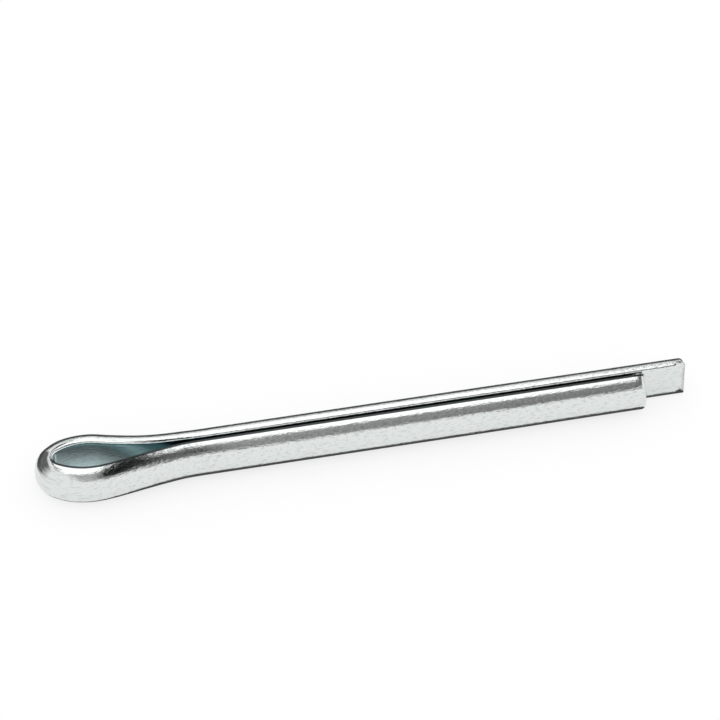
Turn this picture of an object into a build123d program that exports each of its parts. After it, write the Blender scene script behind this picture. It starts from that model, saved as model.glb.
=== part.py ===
from build123d import *
import os
from math import acos, cos, degrees, radians, sin

# A split pin bent from one length of half-round wire. The two flats lie face
# to face in the shank, and the wire opens into an eye at the -X end.
# X runs along the shank towards the tips, Y is across the flats, Z is up.
# The origin is on the shank's axis, at the shoulder where the legs part.

# Shank
SHANK_DIAMETER = 2.9  # both legs together
LEG_GAP = 0.14  # between the two flats
EDGE_ROUNDING = 0.22  # along both edges of each flat
SHORT_LEG = 28.1  # shoulder to the short tip
LEG_DIFFERENCE = 2.75  # how much further the long leg reaches
TIP_ROUNDING = 0.22  # rolled over outer edge of each sheared tip

# Eye
OPENING_WIDTH = 1.86  # between the flats where the eye is widest
NECK_RADIUS = 25.0  # flat's bend at the shoulder
NECK_ANGLE = 11.0  # degrees the neck opens to either side
SIDE_RADIUS = 3.85  # flat's bend along each side of the eye
END_RADIUS = 0.51  # flat's bend around the end of the eye

SHANK_RADIUS = SHANK_DIAMETER / 2
FLAT_OFFSET = LEG_GAP / 2


def neck_straight():
    """Straight length between the neck's bend and the side's bend."""
    turned = 1 - cos(radians(NECK_ANGLE))
    spread = OPENING_WIDTH / 2 - FLAT_OFFSET - (NECK_RADIUS + SIDE_RADIUS) * turned
    return spread / sin(radians(NECK_ANGLE))


def side_end_angle():
    """Degrees the side turns inward before the tighter bend at the end."""
    across = (SIDE_RADIUS - OPENING_WIDTH / 2) / (SIDE_RADIUS - END_RADIUS)
    return degrees(acos(across))


def bend(previous, radius, turn):
    """Arc that carries on from the end of the previous piece of the path."""
    return JernArc(start=previous @ 1, tangent=previous % 1, radius=radius, arc_size=turn)


def flat_path():
    """Middle line of the flat, from the short tip round the eye to the long tip."""
    inward = side_end_angle()
    short = Line((SHORT_LEG, -FLAT_OFFSET), (0, -FLAT_OFFSET))
    neck_a = bend(short, NECK_RADIUS, NECK_ANGLE)
    straight_a = Line(neck_a @ 1, (neck_a @ 1) + (neck_a % 1) * neck_straight())
    side_a = bend(straight_a, SIDE_RADIUS, -(NECK_ANGLE + inward))
    end = bend(side_a, END_RADIUS, -(180 - 2 * inward))
    side_b = bend(end, SIDE_RADIUS, -(NECK_ANGLE + inward))
    straight_b = Line(side_b @ 1, (side_b @ 1) + (side_b % 1) * neck_straight())
    neck_b = bend(straight_b, NECK_RADIUS, NECK_ANGLE)
    long = Line(neck_b @ 1, (SHORT_LEG + LEG_DIFFERENCE, FLAT_OFFSET))
    return Wire([short, neck_a, straight_a, side_a, end, side_b, straight_b, neck_b, long])


def half_round():
    """Section of the wire at the short tip: an arc about the pin's axis, and a flat."""
    disc = Circle(SHANK_RADIUS)
    kept = Rectangle(SHANK_DIAMETER, SHANK_DIAMETER, align=(Align.CENTER, Align.MAX))
    section = disc & Pos(0, -FLAT_OFFSET) * kept
    section = fillet(section.vertices(), EDGE_ROUNDING)
    tip = Plane(origin=(SHORT_LEG, 0, 0), x_dir=(0, 0, 1), z_dir=(-1, 0, 0))
    return tip * section


def outer_tip_edges(pin):
    """The round edge of each sheared tip, the flat's own edge left sharp."""
    ends = [SHORT_LEG, SHORT_LEG + LEG_DIFFERENCE]
    faces = [
        f
        for f in pin.faces().filter_by(Axis.X)
        if any(abs(f.center().X - end) < EDGE_ROUNDING for end in ends)
    ]
    return [f.edges().sort_by(SortBy.LENGTH)[-1] for f in faces]


def split_pin():
    pin = sweep(half_round(), path=flat_path())
    return fillet(outer_tip_edges(pin), TIP_ROUNDING)


os.makedirs("parts", exist_ok=True)
pin = split_pin()
print("neck straight", round(neck_straight(), 3), "end angle", round(side_end_angle(), 2))
print("box", pin.bounding_box(), "volume", round(pin.volume, 2))
export_step(pin, "parts/split_pin.step")
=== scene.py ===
# %% [markdown]
# # A split pin in bright zinc plate
# A split pin locks other parts in place: it drops through a cross hole, its
# eye stops it at the rim, and its two legs are bent apart on the far side.
# It is one length of half-round wire, folded in the middle. Everything here
# is in metres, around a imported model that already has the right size.

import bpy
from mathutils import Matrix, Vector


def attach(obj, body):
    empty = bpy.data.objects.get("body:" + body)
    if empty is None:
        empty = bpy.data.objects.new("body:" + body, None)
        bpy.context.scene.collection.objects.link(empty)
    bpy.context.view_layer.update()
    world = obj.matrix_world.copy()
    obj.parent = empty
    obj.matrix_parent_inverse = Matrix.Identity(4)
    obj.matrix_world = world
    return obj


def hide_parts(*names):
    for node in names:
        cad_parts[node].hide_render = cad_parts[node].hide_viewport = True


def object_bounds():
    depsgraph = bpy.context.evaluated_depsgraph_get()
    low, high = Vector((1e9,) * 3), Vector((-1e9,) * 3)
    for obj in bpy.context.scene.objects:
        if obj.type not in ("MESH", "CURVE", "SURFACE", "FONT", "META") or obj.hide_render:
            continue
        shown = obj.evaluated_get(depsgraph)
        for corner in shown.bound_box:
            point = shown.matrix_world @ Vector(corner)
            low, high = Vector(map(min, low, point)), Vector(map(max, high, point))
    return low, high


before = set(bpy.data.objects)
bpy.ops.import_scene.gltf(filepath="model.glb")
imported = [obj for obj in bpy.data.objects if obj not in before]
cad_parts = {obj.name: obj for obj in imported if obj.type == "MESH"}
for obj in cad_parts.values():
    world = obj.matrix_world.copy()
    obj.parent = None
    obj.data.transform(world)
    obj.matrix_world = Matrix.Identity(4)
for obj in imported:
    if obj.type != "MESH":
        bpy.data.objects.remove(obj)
cad_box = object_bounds()
print("packed model's box", cad_box)

# %% Helpers for millimetres and colours
from math import acos, cos, pi, radians, sin

import bmesh
import bpy
from mathutils import Matrix, Vector

MM = 0.001
COLOURS = {"data_type": "RGBA"}
SMOOTH = {"interpolation_type": "SMOOTHSTEP"}
TIMES = {"operation": "MULTIPLY"}
LARGER = {"operation": "MAXIMUM"}


def linear(hex_colour):
    """A screen colour such as #D8DCDA as the linear values that a shader takes."""
    parts = [int(hex_colour[i : i + 2], 16) / 255 for i in (1, 3, 5)]
    values = [p / 12.92 if p <= 0.04045 else ((p + 0.055) / 1.055) ** 2.4 for p in parts]
    return (*values, 1.0)


def add_node(tree, kind, settings=None, **inputs):
    """One node with its settings, plain values and links. An input such as _0 is socket number 0."""
    node = tree.nodes.new(kind)
    for name, value in (settings or {}).items():
        setattr(node, name, value)
    for name, value in inputs.items():
        key = int(name[1:]) if name[1:].isdigit() else name.replace("_", " ")
        socket = node.inputs[key]
        if isinstance(value, bpy.types.NodeSocket):
            tree.links.new(value, socket)
        else:
            socket.default_value = value
    return node


# %% [markdown]
# ## The camera
# A long lens from an arm's length away keeps the two legs of a small part
# parallel. The camera looks down at the pin from the eye end, which shows the
# eye's opening, the round flank of the short leg and the flat of the long one.
# A camera's place is easiest to state as a distance and two angles around the
# point it looks at.

# %% Place the camera
CAMERA_TURN = -11.05
CAMERA_HEIGHT_ANGLE = 49.3
CAMERA_DISTANCE = 0.3506
CAMERA_LENS = 280.0
LOOK_AT = Vector((10.0, 0.0, 0.0)) * MM
LOOK_ABOVE = 4.284 * MM
SENSOR_WIDTH = 36.0
NEAREST_SEEN = 10 * MM

turn = radians(CAMERA_TURN)
height = radians(CAMERA_HEIGHT_ANGLE)
towards_camera = Vector((sin(turn) * cos(height), -cos(turn) * cos(height), sin(height)))
camera_right = Vector((cos(turn), sin(turn), 0))
camera_up = towards_camera.cross(camera_right)

camera_data = bpy.data.cameras.new("camera")
camera_data.lens = CAMERA_LENS
camera_data.sensor_width = SENSOR_WIDTH
camera_data.clip_start = NEAREST_SEEN
camera = bpy.data.objects.new("camera", camera_data)
camera.location = LOOK_AT + camera_up * LOOK_ABOVE + towards_camera * CAMERA_DISTANCE
camera.rotation_euler = towards_camera.to_track_quat("Z", "Y").to_euler()
bpy.context.collection.objects.link(camera)
bpy.context.scene.camera = camera
print("camera at", tuple(round(v, 4) for v in camera.location))

# %% [markdown]
# ## Plain studio light
# Bright metal shows its surroundings, so the light is mostly a matter of what
# stands around it. A white world lights everything evenly. A large soft light
# above gives the white bands along the legs, and dark cards give the dark ones
# that make it look like metal. Only reflections see the cards, so they cast no
# shadow and leave the paper white.

# %% A white world and the default look
scene = bpy.context.scene
scene.view_settings.view_transform = "Standard"

world = bpy.data.worlds.new("white_room")
scene.world = world
world.use_nodes = True
background = world.node_tree.nodes["Background"]
background.inputs["Color"].default_value = (1, 1, 1, 1)
background.inputs["Strength"].default_value = 1.0

# %% A card that only reflections see
def only_reflected(obj):
    """Hides an object from everything but reflections."""
    obj.visible_camera = False
    obj.visible_diffuse = False
    obj.visible_shadow = False


def card(name, corners, glow, fade=None):
    """A flat card. Fade is an axis, a second glow, and where it starts and ends."""
    bm = bmesh.new()
    bm.faces.new([bm.verts.new(c) for c in corners])
    mesh = bpy.data.meshes.new(name)
    bm.to_mesh(mesh)
    bm.free()
    paper = bpy.data.materials.new(name)
    paper.use_nodes = True
    tree = paper.node_tree
    tree.nodes.clear()
    lit = add_node(tree, "ShaderNodeEmission", Color=(1, 1, 1, 1), Strength=glow)
    if fade:
        axis, other_glow, start, stop = fade
        place = add_node(tree, "ShaderNodeTexCoord")
        apart = add_node(tree, "ShaderNodeSeparateXYZ", Vector=place.outputs["Object"])
        share = add_node(
            tree, "ShaderNodeMapRange", Value=apart.outputs[axis],
            From_Min=start, From_Max=stop, To_Min=glow, To_Max=other_glow,
        )
        tree.links.new(share.outputs[0], lit.inputs["Strength"])
    add_node(tree, "ShaderNodeOutputMaterial", Surface=lit.outputs[0])
    mesh.materials.append(paper)
    obj = bpy.data.objects.new(name, mesh)
    bpy.context.collection.objects.link(obj)
    only_reflected(obj)
    return obj


def level(slopes, height):
    """Corners of a level card from the slopes at which the pin sees them."""
    return [(x * height, y * height, height) for x, y in slopes]


def sheet(left, right, front, back, height):
    """Corners of a level rectangle."""
    return [(left, front, height), (right, front, height), (right, back, height), (left, back, height)]


# %% [markdown]
# ## The cards overhead
# The large cards hang three metres up, so every part of the pin sees them in
# nearly the same direction. The soft light has a black frame round it. Nearer
# the camera hangs a dim card, which becomes the grey band along the short leg.
# A grey wall on the left gives the fold at the end of the eye something to show.

# %% Hang the soft light and the large cards
CARD_HEIGHT = 3.0
CARD_SPACING = 0.02
SOFT_LIGHT_GLOW = 1.6
FRAME_GLOW = 0.01
DIM_GLOW_LEFT = 0.5
DIM_GLOW_RIGHT = 0.15
WALL_GLOW_NEAR = 0.9
WALL_GLOW_FAR = 0.15

soft_light_slopes = [
    (-0.36, -0.27), (0.02, -0.26), (0.06, -0.14), (0.26, -0.13), (0.27, 0.85),
    (0.74, 4.0), (0.15, 4.0), (0.02, 0.95), (-0.12, 0.60), (-0.30, 0.30),
]
frame_slopes = [(-0.46, -0.12), (0.48, -0.12), (1.2, 4.4), (0.17, 4.4)]
dim_slopes = [(-0.35, -0.10), (0.48, -0.10), (0.48, -1.30), (-0.35, -1.30)]
card("soft_light", level(soft_light_slopes, CARD_HEIGHT), SOFT_LIGHT_GLOW)
card("soft_light_black_frame", level(frame_slopes, CARD_HEIGHT + CARD_SPACING), FRAME_GLOW)
dim_fade = ("X", DIM_GLOW_RIGHT, 0.0, 0.30 * CARD_HEIGHT)
card("dim_card_above_camera", level(dim_slopes, CARD_HEIGHT + 2 * CARD_SPACING), DIM_GLOW_LEFT, dim_fade)
wall_corners = [(-3.0, 9.0, 0.0), (-4.2, -1.2, 0.0), (-4.2, -1.2, 4.8), (-3.0, 9.0, 4.8)]
card("grey_wall_left", wall_corners, WALL_GLOW_NEAR, ("Y", WALL_GLOW_FAR, -1.2, 1.5))
print("soft light", CARD_HEIGHT, "m up")

# %% [markdown]
# ## The small papers close to the pin
# A dark paper behind the pin gives the long leg its dark upper line. A dim one
# in the eye is painted shade: it stands in for the shaded paper inside the eye,
# and the inside of the fold reflects it. A small black flag hangs just above
# the neck, near enough that from the camera the neck alone shows it, as a dark
# patch. From other sides it shows elsewhere along the pin.

# %% Lay the papers and hang the flag
floor_height = cad_box[0][2]
PAPER_STEP = 0.02 * MM
PAPER_GLOW = 0.08
EYE_PAPER_GLOW_BACK = 0.85
EYE_PAPER_GLOW_FRONT = 0.15
FLAG_HEIGHT = 20.0 * MM

behind = sheet(-0.2, 0.2, 4.0 * MM, 0.3, floor_height + 2 * PAPER_STEP)
card("black_paper_and_painted_shadow", behind, PAPER_GLOW)
# The dim paper in the eye is painted shade, for the inside of the fold to reflect.
in_eye = sheet(-9.2 * MM, -0.5 * MM, -0.9 * MM, 0.9 * MM, floor_height + 3 * PAPER_STEP)
eye_fade = ("Y", EYE_PAPER_GLOW_FRONT, 0.8 * MM, -0.6 * MM)
card("painted_shade_in_eye", in_eye, EYE_PAPER_GLOW_BACK, eye_fade)
flag_corners = [(-4.2, 15.5), (-1.6, 15.5), (1.2, -4.3), (3.0, -17.7), (-3.4, -17.7), (-3.9, -4.3)]
card("small_black_flag", [(x * MM, y * MM, FLAG_HEIGHT) for x, y in flag_corners], 0.0)
print("flag", round(FLAG_HEIGHT / MM), "mm above the pin")

# %% [markdown]
# ## The floor
# The pin lies on white paper. The paper is a plain matt white that keeps the
# pin's soft contact shadow, with a little added white for the camera so that
# the paper has no visible edge.

# %% Lay the floor under the pin
FLOOR_HALF_WIDTH = 1.5
ADDED_WHITE = 0.73

bm = bmesh.new()
bmesh.ops.create_grid(bm, x_segments=1, y_segments=1, size=FLOOR_HALF_WIDTH)
bmesh.ops.translate(bm, verts=bm.verts, vec=(0, 0, floor_height))
floor_mesh = bpy.data.meshes.new("paper_floor")
bm.to_mesh(floor_mesh)
bm.free()
floor = bpy.data.objects.new("paper_floor", floor_mesh)
bpy.context.collection.objects.link(floor)

# %% Make the paper
paper = bpy.data.materials.new("white_paper")
paper.use_nodes = True
tree = paper.node_tree
tree.nodes.clear()
matt = add_node(tree, "ShaderNodeBsdfDiffuse", Color=linear("#909090"))
ray = add_node(tree, "ShaderNodeLightPath")
seen = add_node(
    tree, "ShaderNodeMath", LARGER,
    _0=ray.outputs["Is Camera Ray"], _1=ray.outputs["Is Glossy Ray"],
)
seen = add_node(tree, "ShaderNodeMath", LARGER, _0=seen.outputs[0], _1=ray.outputs["Is Transmission Ray"])
lift = add_node(tree, "ShaderNodeMath", TIMES, _0=seen.outputs[0], _1=ADDED_WHITE)
glow = add_node(tree, "ShaderNodeEmission", Color=(1, 1, 1, 1), Strength=lift.outputs[0])
both = add_node(tree, "ShaderNodeAddShader", _0=matt.outputs[0], _1=glow.outputs[0])
add_node(tree, "ShaderNodeOutputMaterial", Surface=both.outputs[0])
floor_mesh.materials.append(paper)
print("floor at", round(floor_height / MM, 3), "mm")

# %% [markdown]
# ## The wire's section
# The wire is half-round: a flat that lies against the other leg's flat, and
# an arc about the pin's own axis, so that the two legs together fill a round
# hole. Drawing through a die leaves the two edges softly rounded. A full disc
# cut along a plane and bevelled at its two corners gives exactly that, once the
# points too close to a corner are dissolved to leave the bevel its full width.

# %% Sizes of the pin
SHANK_RADIUS = 1.45 * MM
LEG_GAP = 0.14 * MM
EDGE_ROUNDING = 0.22 * MM
TIP_ROUNDING = 0.22 * MM
SHORT_LEG = 28.1 * MM
LONG_LEG = 30.85 * MM
OPENING_WIDTH = 1.86 * MM
NECK_RADIUS = 25.0 * MM
NECK_ANGLE = radians(11.0)
SIDE_RADIUS = 3.85 * MM
END_RADIUS = 0.51 * MM
FLAT_OFFSET = LEG_GAP / 2

end_angle = acos((SIDE_RADIUS - OPENING_WIDTH / 2) / (SIDE_RADIUS - END_RADIUS))
spread = OPENING_WIDTH / 2 - FLAT_OFFSET - (NECK_RADIUS + SIDE_RADIUS) * (1 - cos(NECK_ANGLE))
neck_straight = spread / sin(NECK_ANGLE)
print("neck's straight part", round(neck_straight / MM, 2), "mm")

# %% Cut the section from a disc
POINTS_ROUND_DISC = 96
POINTS_ROUND_EDGE = 6
POINTS_ALONG_FLAT = 11
NEXT_TO_NOTHING = 1e-7
CLEARED = 1.15 * EDGE_ROUNDING

bm = bmesh.new()
place = bm.verts.layers.float_vector.new("straight_wire")
bmesh.ops.create_circle(bm, cap_ends=True, segments=POINTS_ROUND_DISC, radius=SHANK_RADIUS)
bmesh.ops.rotate(bm, verts=bm.verts, matrix=Matrix.Rotation(pi / 2, 3, "Y"))
everything = bm.verts[:] + bm.edges[:] + bm.faces[:]
bmesh.ops.bisect_plane(
    bm, geom=everything, plane_co=(0, -FLAT_OFFSET, 0), plane_no=(0, 1, 0), clear_outer=True
)
corners = [v for v in bm.verts if abs(v.co.y + FLAT_OFFSET) < NEXT_TO_NOTHING]
others = [v for v in bm.verts if v not in corners]
spare = [v for v in others if min((v.co - c.co).length for c in corners) < CLEARED]
bmesh.ops.dissolve_verts(bm, verts=spare)
bmesh.ops.bevel(
    bm, geom=corners, offset=EDGE_ROUNDING, segments=POINTS_ROUND_EDGE,
    profile=0.5, affect="VERTICES", material=-1,
)
flat_edge = [e for e in bm.edges if all(abs(v.co.y + FLAT_OFFSET) < NEXT_TO_NOTHING for v in e.verts)]
longest = max(flat_edge, key=lambda e: e.calc_length())
bmesh.ops.subdivide_edges(bm, edges=[longest], cuts=POINTS_ALONG_FLAT)
for v in bm.verts:
    v[place] = (0, v.co.y / MM, v.co.z / MM)
bmesh.ops.translate(bm, verts=bm.verts, vec=(SHORT_LEG, 0, 0))
print("points round the section", len(bm.verts))

# %% [markdown]
# ## Folding the wire
# The real pin is folded round a form in one stroke. Here the section travels
# the same way: it is extruded down the short leg, spun through each bend, and
# extruded up the long leg. Each point also keeps where it was on the straight
# wire, so the drawn grain can follow the wire round the eye.

# %% How the section moves along a straight and round a bend
ring = bm.edges[:]
heading = Vector((-1, 0, 0))
middle = Vector((SHORT_LEG, -FLAT_OFFSET, 0))
travelled = 0.0
rings = []


def note_ring(step):
    """Keeps where this ring of points is, on the straight wire and on the folded one."""
    global travelled
    travelled += step
    points = list({v for e in ring for v in e.verts})
    for v in points:
        v[place] = (travelled / MM, v[place].y, v[place].z)
    outward = Vector((-heading.y, heading.x, 0))
    rings.append((points, middle.copy(), outward, travelled))


def straight(length, steps):
    """Extrudes the ring straight ahead."""
    global ring, middle
    for _ in range(steps):
        made = bmesh.ops.extrude_edge_only(bm, edges=ring)["geom"]
        ring = [g for g in made if isinstance(g, bmesh.types.BMEdge)]
        ahead = [g for g in made if isinstance(g, bmesh.types.BMVert)]
        bmesh.ops.translate(bm, verts=ahead, vec=heading * length / steps)
        middle = middle + heading * length / steps
        note_ring(length / steps)


def bend(radius, angle, steps):
    """Spins the ring about the bend's centre. A positive angle turns left."""
    global ring, middle, heading
    side = 1 if angle > 0 else -1
    centre = middle + Vector((-heading.y, heading.x, 0)) * side * radius
    step = angle / steps
    turned = Matrix.Rotation(step, 3, "Z")
    for _ in range(steps):
        spun = bmesh.ops.spin(bm, geom=ring, cent=centre, axis=(0, 0, 1), angle=step, steps=1)
        made = spun["geom_last"]
        ring = [g for g in made if isinstance(g, bmesh.types.BMEdge)]
        middle = centre + turned @ (middle - centre)
        heading = turned @ heading
        note_ring(radius * abs(step))


# %% Carry the section from the short tip, round the eye, to the long tip
SHORT_LEG_STEPS = 40
NECK_STEPS = 14
NECK_STRAIGHT_STEPS = 3
SIDE_STEPS = 22
FOLD_STEPS = 26
LONG_LEG_STEPS = 44

note_ring(0.0)
straight(SHORT_LEG, SHORT_LEG_STEPS)
bend(NECK_RADIUS, NECK_ANGLE, NECK_STEPS)
straight(neck_straight, NECK_STRAIGHT_STEPS)
bend(SIDE_RADIUS, -(NECK_ANGLE + end_angle), SIDE_STEPS)
bend(END_RADIUS, -(pi - 2 * end_angle), FOLD_STEPS)
bend(SIDE_RADIUS, -(NECK_ANGLE + end_angle), SIDE_STEPS)
straight(neck_straight, NECK_STRAIGHT_STEPS)
bend(NECK_RADIUS, NECK_ANGLE, NECK_STEPS)
straight(LONG_LEG, LONG_LEG_STEPS)
end = tuple(round(c / MM, 3) for c in middle)
print("wire used", round(travelled / MM, 2), "mm, ends at", end)
bmesh.ops.contextual_create(bm, geom=ring)
bmesh.ops.recalc_face_normals(bm, faces=bm.faces)

# %% [markdown]
# ## What the fold does to the wire
# Round the tight end the outside of the wire stretches, so it is thinner
# there. The eye also leans a little to one side, and the legs narrow slightly
# towards the tips. What causes those two is a guess, so they are kept small.
# All of them move whole rings, so the section stays smooth.

# %% Thin the stretched end and lean the eye
END_THINNING = 0.11
END_THINNED_LENGTH = 1.35 * MM
TIP_SQUEEZE = 0.03
SQUEEZE_START = 17 * MM
SQUEEZE_END = 27 * MM
EYE_LEAN = 0.17 * MM
LEAN_START = 0.6
SHOULDER_DIP = 0.085 * MM
DIP_START = 0.15
DIP_SPAN = 0.58


def ease(x, start, stop):
    """Goes smoothly from 0 at start to 1 at stop."""
    t = min(max((x - start) / (stop - start), 0), 1)
    return t * t * (3 - 2 * t)


# %% Move the rings
fold_at = SHORT_LEG + (travelled - SHORT_LEG - LONG_LEG) / 2
eye_length = -min(centre.x for _, centre, _, _ in rings)
for points, centre, outward, along in rings:
    stretched = 1 - ease(abs(along - fold_at), 0, END_THINNED_LENGTH)
    squeezed = ease(centre.x, SQUEEZE_START, SQUEEZE_END)
    depth = 1 - END_THINNING * stretched - TIP_SQUEEZE * squeezed
    share = -centre.x / eye_length
    dip = sin(pi * min(max((share - DIP_START) / DIP_SPAN, 0), 1))
    lean = EYE_LEAN * ease(share, LEAN_START, 1.0) - SHOULDER_DIP * dip
    for v in points:
        out = (v.co - centre).dot(outward)
        v.co += outward * out * (depth - 1) + Vector((0, lean, 0))

# %% Round the outer edge of each tip
SQUARE_ON = 0.999
tips = [f for f in bm.faces if abs(f.normal.x) > SQUARE_ON and len(f.verts) > 6]
off_flat = {v for f in tips for v in f.verts if abs(abs(v.co.y) - FLAT_OFFSET) > EDGE_ROUNDING}
rolled = [e for f in tips for e in f.edges if any(v in off_flat for v in e.verts)]
bmesh.ops.bevel(
    bm, geom=rolled, offset=TIP_ROUNDING, segments=5, profile=0.5, affect="EDGES", material=-1
)
print("tips", len(tips), "rolled edges", len(rolled))

# %% Finish the pin's mesh
pin_mesh = bpy.data.meshes.new("split_pin_wire")
for face in bm.faces:
    face.smooth = True
bm.to_mesh(pin_mesh)
open_edges = sum(not e.is_manifold for e in bm.edges)
print("faces", len(bm.faces), "open edges", open_edges, "volume", round(bm.calc_volume() / MM**3, 1))
bm.free()
pin = bpy.data.objects.new("split_pin_wire", pin_mesh)
bpy.context.collection.objects.link(pin)
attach(pin, "root")
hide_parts("split_pin")

# %% [markdown]
# ## Bright zinc plate
# The wire is low-carbon steel, drawn through a die, folded, sheared and then
# barrel plated in zinc with a clear bluish passivation. That gives the eye a
# bright, slightly blue white metal. Its texture follows the wire round the
# eye, so it is drawn on where each point was while the wire was straight.

# %% Start the zinc from each point's place on the straight wire, in mm
zinc = bpy.data.materials.new("bright_zinc_plated_steel")
zinc.use_nodes = True
tree = zinc.node_tree
tree.nodes.clear()
wire = add_node(tree, "ShaderNodeAttribute", {"attribute_name": "straight_wire"})
section = add_node(tree, "ShaderNodeSeparateXYZ", Vector=wire.outputs["Vector"])
print("fold at", round(fold_at / MM, 2), "mm along the wire")

# %% [markdown]
# ## Pebbled grain and drawing lines
# The surface has a soft pebbled grain, which tumbling in a plating barrel would
# give. It is drawn about an eighth of a millimetre across, coarse enough to
# show, and longer along the wire. A die leaves fine lines that run much
# further. Both are bumps, and the grain's pits are a little darker too.

# %% Raise the grain and the lines
GRAINS_PER_MM = 8.0
GRAIN_LENGTH = 2.5  # times its width
GRAIN_DEPTH = 0.012 * MM
LINES_PER_MM = 9.0
LINE_LENGTH = 20.0  # times its width
LINE_DEPTH = 0.004 * MM

along_wire = add_node(
    tree, "ShaderNodeMapping", Vector=wire.outputs["Vector"], Scale=(1 / GRAIN_LENGTH, 1, 1)
)
grain = add_node(
    tree, "ShaderNodeTexNoise", Vector=along_wire.outputs[0],
    Scale=GRAINS_PER_MM, Detail=3.0, Roughness=0.6,
)
drawn = add_node(tree, "ShaderNodeMapping", Vector=wire.outputs["Vector"], Scale=(1 / LINE_LENGTH, 1, 1))
lines = add_node(
    tree, "ShaderNodeTexNoise", Vector=drawn.outputs[0],
    Scale=LINES_PER_MM, Detail=2.0, Roughness=0.5,
)
pebbles = add_node(
    tree, "ShaderNodeBump", Height=grain.outputs[0], Strength=1.0, Distance=GRAIN_DEPTH
)
scored = add_node(
    tree, "ShaderNodeBump", Height=lines.outputs[0], Strength=1.0, Distance=LINE_DEPTH,
    Normal=pebbles.outputs[0],
)
print("grain", 1 / GRAINS_PER_MM, "mm wide")

# %% [markdown]
# ## Two colours that are painted light
# The inside of the eye looks darker and bluer than the rest, and a fine dark
# line follows the upper edge of the short leg. Both come from light bouncing
# between the wire's own faces, which the bumps and the cards don't give, so
# both are painted: the flat inside the eye gets painted shade with a bluer
# tone, and a narrow strip of the rounded edge is a painted dark reflection of
# the shaded gap between the legs. Whether the real ones are plating and wear or only reflections isn't
# known. Each is a smooth mask over the section, measured in millimetres from the pin's own axis.

# %% Paint shade and a bluer tone into the flat inside the eye
# The tint is painted shade: the darker, bluer light inside the eye, where the wire's faces reflect each
# other.
FLAT_FROM, FLAT_TO = -0.13, -0.09
EYE_FADES_AT, EYE_FULL_AT = 14.0, 8.0

on_flat = add_node(
    tree, "ShaderNodeMapRange", SMOOTH, Value=section.outputs["Y"], From_Min=FLAT_FROM, From_Max=FLAT_TO
)
from_fold = add_node(
    tree, "ShaderNodeMath", {"operation": "SUBTRACT"}, _0=section.outputs["X"], _1=fold_at / MM
)
from_fold = add_node(tree, "ShaderNodeMath", {"operation": "ABSOLUTE"}, _0=from_fold.outputs[0])
in_eye = add_node(
    tree, "ShaderNodeMapRange", SMOOTH,
    Value=from_fold.outputs[0], From_Min=EYE_FADES_AT, From_Max=EYE_FULL_AT,
)
painted_eye_shade = add_node(tree, "ShaderNodeMath", TIMES, _0=on_flat.outputs[0], _1=in_eye.outputs[0])
plain = add_node(
    tree, "ShaderNodeMix", COLOURS, _0=painted_eye_shade.outputs[0], _6=linear("#DFE3E1"), _7=linear("#C0D5D7")
)

# %% Paint a dark reflection along the upper edge of the short leg
# The dark strip is a painted reflection of the shaded gap between the two legs.
EDGE_FROM, EDGE_TO = -0.36, -0.30
TOP_FROM, TOP_TO = 1.10, 1.16
FOLD_BLEND = 0.2

near_flat = add_node(
    tree, "ShaderNodeMapRange", SMOOTH, Value=section.outputs["Y"], From_Min=EDGE_FROM, From_Max=EDGE_TO
)
on_top = add_node(
    tree, "ShaderNodeMapRange", SMOOTH, Value=section.outputs["Z"], From_Min=TOP_FROM, From_Max=TOP_TO
)
short_side = add_node(
    tree, "ShaderNodeMapRange", Value=section.outputs["X"],
    From_Min=fold_at / MM + FOLD_BLEND, From_Max=fold_at / MM - FOLD_BLEND,
)
painted_dark_reflection = add_node(tree, "ShaderNodeMath", TIMES, _0=near_flat.outputs[0], _1=on_top.outputs[0])
painted_dark_reflection = add_node(tree, "ShaderNodeMath", TIMES, _0=painted_dark_reflection.outputs[0], _1=short_side.outputs[0])

# %% Mix the colours and finish the zinc
ROUGHNESS = 0.11
PITS_FROM, PITS_TO = 0.5, 0.68

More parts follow.
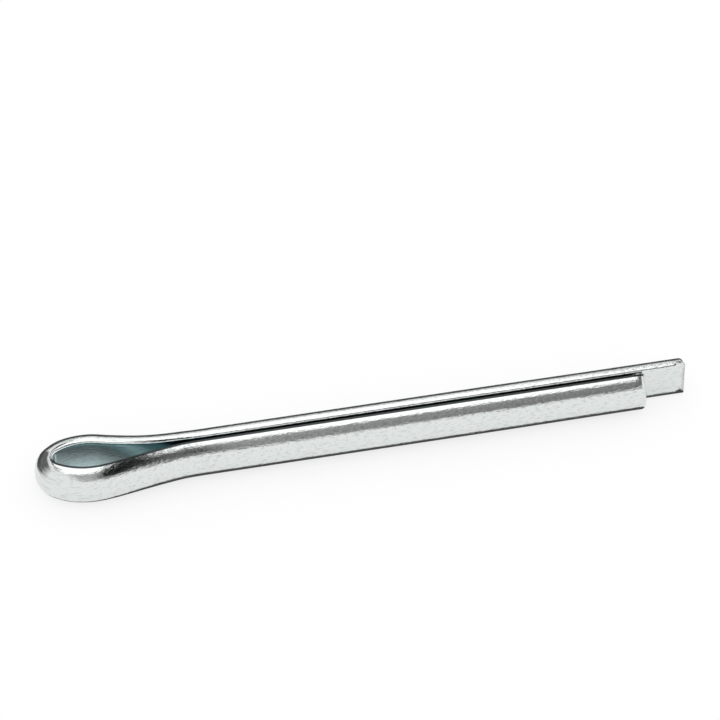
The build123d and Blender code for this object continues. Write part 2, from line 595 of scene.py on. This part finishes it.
pits = add_node(
    tree, "ShaderNodeMapRange", Value=grain.outputs[0], From_Min=PITS_FROM, From_Max=PITS_TO
)
pitted = add_node(
    tree, "ShaderNodeMix", {**COLOURS, "blend_type": "MULTIPLY"},
    _0=pits.outputs[0], _6=plain.outputs[2], _7=linear("#ECECEC"),
)
colour = add_node(
    tree, "ShaderNodeMix", COLOURS, _0=painted_dark_reflection.outputs[0], _6=pitted.outputs[2], _7=linear("#3A3F40")
)
metal = add_node(
    tree, "ShaderNodeBsdfPrincipled", Base_Color=colour.outputs[2],
    Metallic=1.0, Roughness=ROUGHNESS, Normal=scored.outputs[0],
)
add_node(tree, "ShaderNodeOutputMaterial", Surface=metal.outputs[0])
pin_mesh.materials.append(zinc)
print("zinc has", len(tree.nodes), "nodes")

# %% [markdown]
# ## The painted contact shadow under the pin
# Where the pin meets the paper hardly any light gets in, and the underside of
# each leg reflects that as a fine dark line along its lower edge. A thin dark
# mat in the outline of the pin, seen only in reflections, is that contact
# shadow painted in, and keeps the line crisp. It is tucked in under the round
# of the eye, where the real line fades out.

# %% Lay the painted shadow mat in the pin's outline
MAT_MARGIN = 0.25 * MM
EYE_TUCK = 0.35 * MM
TUCKED_BEFORE = -8.5 * MM
WHOLE_AFTER = -2.5 * MM
EYE_MIDDLE = Vector((-5.5, 0, 0)) * MM

bm = bmesh.new()
bm.from_mesh(pin_mesh)
for v in bm.verts:
    flat_way = Vector((v.normal.x, v.normal.y, 0))
    outside = v.normal.dot(v.co - EYE_MIDDLE) > 0
    share = ease(v.co.x, TUCKED_BEFORE, WHOLE_AFTER) if outside else 1
    v.co += flat_way * (MAT_MARGIN * share - EYE_TUCK * (1 - share))
bmesh.ops.scale(bm, verts=bm.verts, vec=(1, 1, 0))
bmesh.ops.translate(bm, verts=bm.verts, vec=(0, 0, floor_height + PAPER_STEP))
mat_mesh = bpy.data.meshes.new("painted_contact_shadow_mat")
bm.to_mesh(mat_mesh)
bm.free()
# The mat takes the black paper's dark material, as painted contact shadow.
mat_mesh.materials.clear()
mat_mesh.materials.append(bpy.data.materials["black_paper_and_painted_shadow"])
mat = bpy.data.objects.new("painted_contact_shadow_mat", mat_mesh)
bpy.context.collection.objects.link(mat)
only_reflected(mat)
print("mat's margin", round(MAT_MARGIN / MM, 2), "mm")
